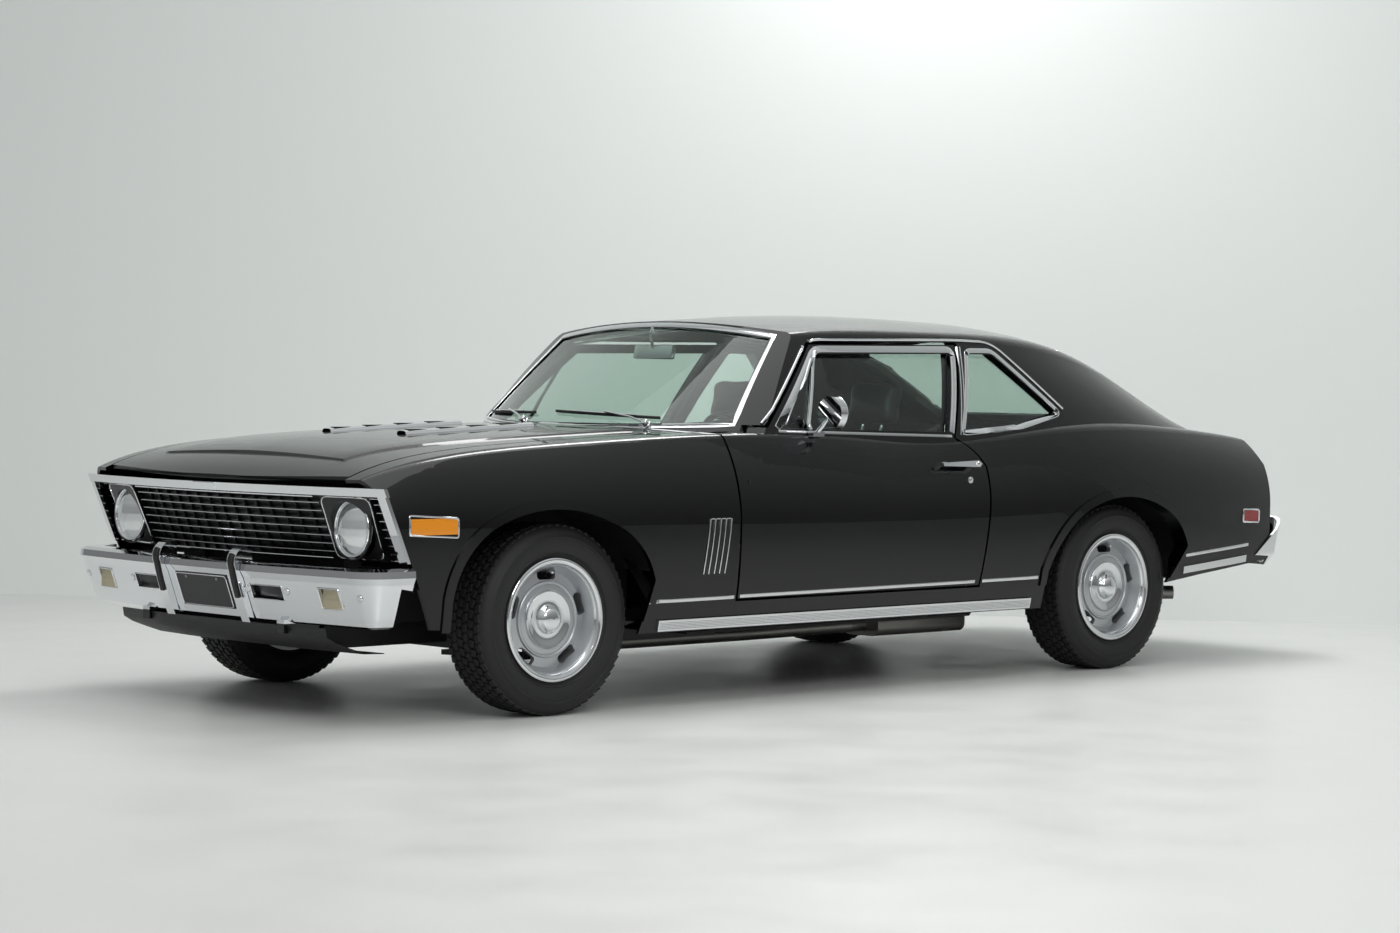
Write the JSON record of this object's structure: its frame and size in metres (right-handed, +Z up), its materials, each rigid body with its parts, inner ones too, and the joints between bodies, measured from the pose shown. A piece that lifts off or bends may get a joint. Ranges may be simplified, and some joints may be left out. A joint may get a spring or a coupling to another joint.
{
  "type": "two-door muscle car",
  "caption": "Full-size two-door muscle car with opening doors, hood and trunk lid, working steering and turning wheels.",
  "frame": {"origin": "on the ground under the middle of the car's length and width", "axes": "+X to the car's left, +Y to its rear, +Z up; the front faces -Y"},
  "size_m": [1.8691, 4.8116, 1.3633],
  "materials": {
    "body_paint": "gloss black enamel",
    "underbody": "satin black undercoat",
    "frame_paint": "semi-gloss chassis black",
    "inner_paint": "satin black",
    "grille_black": "satin black",
    "chrome": "bright chrome plate",
    "lamp_glass": "clear fluted glass",
    "blank_plate": "dark, blank",
    "clear_lens": "clear lens over amber",
    "amber_lens": "amber lens",
    "red_lens": "red lens",
    "tinted_glass": "green-tinted glass",
    "dash_plastic": "grained black",
    "seat_vinyl": "black vinyl",
    "bright_aluminium": "bright anodised",
    "engine_iron": "painted cast iron",
    "exhaust_steel": "bare steel",
    "wheel_rim_plastic": "moulded black",
    "wheel_silver": "silver paint with bright trim",
    "tyre_rubber": "black rubber"
  },
  "bodies": {
    "body": {"floor_pan": "underbody", "front_subframe": "frame_paint", "inner_fenders": "inner_paint", "cowl": "body_paint", "fender_left": "body_paint", "fender_right": "body_paint", "quarter_left": "body_paint", "quarter_right": "body_paint", "roof": "body_paint", "tail_panel": "body_paint", "package_shelf": "body_paint", "grille": "grille_black", "grille_surround": "chrome", "headlamps": "lamp_glass", "front_bumper": "chrome", "bumper_guards": "chrome", "front_plate": "blank_plate", "turn_signals": "clear_lens", "front_markers": "amber_lens", "rear_markers": "red_lens", "tail_lamps": "red_lens", "rear_bumper": "chrome", "body_glass": "tinted_glass", "dash": "dash_plastic", "steering_column": "dash_plastic", "bucket_seats": "seat_vinyl", "rear_seat": "seat_vinyl", "rocker_mouldings": "bright_aluminium", "engine": "engine_iron", "exhaust": "exhaust_steel", "rear_axle": "frame_paint", "fuel_tank": "exhaust_steel"},
    "left_door": {"door_left": "body_paint", "door_left_glass": "tinted_glass", "door_left_trim": "chrome"},
    "right_door": {"door_right": "body_paint", "door_right_glass": "tinted_glass", "door_right_trim": "chrome"},
    "hood_lid": {"hood": "body_paint"},
    "trunk_lid": {"deck_lid": "body_paint"},
    "hand_wheel": {"steering_wheel": "wheel_rim_plastic"},
    "left_knuckle": {"knuckle_left": "engine_iron"},
    "right_knuckle": {"knuckle_right": "engine_iron"},
    "front_left_wheel": {"wheel_front_left": "wheel_silver", "tyre_front_left": "tyre_rubber"},
    "front_right_wheel": {"wheel_front_right": "wheel_silver", "tyre_front_right": "tyre_rubber"},
    "rear_left_wheel": {"wheel_rear_left": "wheel_silver", "tyre_rear_left": "tyre_rubber"},
    "rear_right_wheel": {"wheel_rear_right": "wheel_silver", "tyre_rear_right": "tyre_rubber"}
  },
  "joints": [
    {"name": "left_door_hinge", "type": "hinge", "parent": "body", "child": "left_door", "pos_m": [0.884, -0.7055, 0.5], "axis": [0, 0, -1], "range_deg": [0, 65]},
    {"name": "right_door_hinge", "type": "hinge", "parent": "body", "child": "right_door", "pos_m": [-0.884, -0.7055, 0.5], "axis": [0, 0, 1], "range_deg": [0, 65]},
    {"name": "hood_hinge", "type": "hinge", "parent": "body", "child": "hood_lid", "pos_m": [0, -0.9225, 0.944], "axis": [-1, 0, 0], "range_deg": [0, 50]},
    {"name": "trunk_hinge", "type": "hinge", "parent": "body", "child": "trunk_lid", "pos_m": [0, 1.9255, 0.9515], "axis": [1, 0, 0], "range_deg": [0, 75]},
    {"name": "steer_left", "type": "hinge", "parent": "body", "child": "left_knuckle", "pos_m": [0.685, -1.5405, 0.32], "axis": [-0.1521, 0, 0.9884], "range_deg": [-30, 30]},
    {"name": "steer_right", "type": "hinge", "parent": "body", "child": "right_knuckle", "pos_m": [-0.685, -1.5405, 0.32], "axis": [0.1521, 0, 0.9884], "range_deg": [-30, 30]},
    {"name": "steer_column", "type": "hinge", "parent": "body", "child": "hand_wheel", "pos_m": [0.372, -0.2805, 0.82], "axis": [0, 0.9272, 0.3746], "range_deg": [-480, 480]},
    {"name": "front_left_roll", "type": "hinge", "parent": "left_knuckle", "child": "front_left_wheel", "pos_m": [0.749, -1.5405, 0.32], "axis": [1, 0, 0], "continuous": true},
    {"name": "front_right_roll", "type": "hinge", "parent": "right_knuckle", "child": "front_right_wheel", "pos_m": [-0.749, -1.5405, 0.32], "axis": [1, 0, 0], "continuous": true},
    {"name": "rear_left_roll", "type": "hinge", "parent": "body", "child": "rear_left_wheel", "pos_m": [0.749, 1.2785, 0.32], "axis": [1, 0, 0], "continuous": true},
    {"name": "rear_right_roll", "type": "hinge", "parent": "body", "child": "rear_right_wheel", "pos_m": [-0.749, 1.2785, 0.32], "axis": [1, 0, 0], "continuous": true}
  ],
  "couplings": [
    {"joint": "steer_right", "follows": "steer_left", "ratio": 1},
    {"joint": "steer_column", "follows": "steer_left", "ratio": 16}
  ]
}
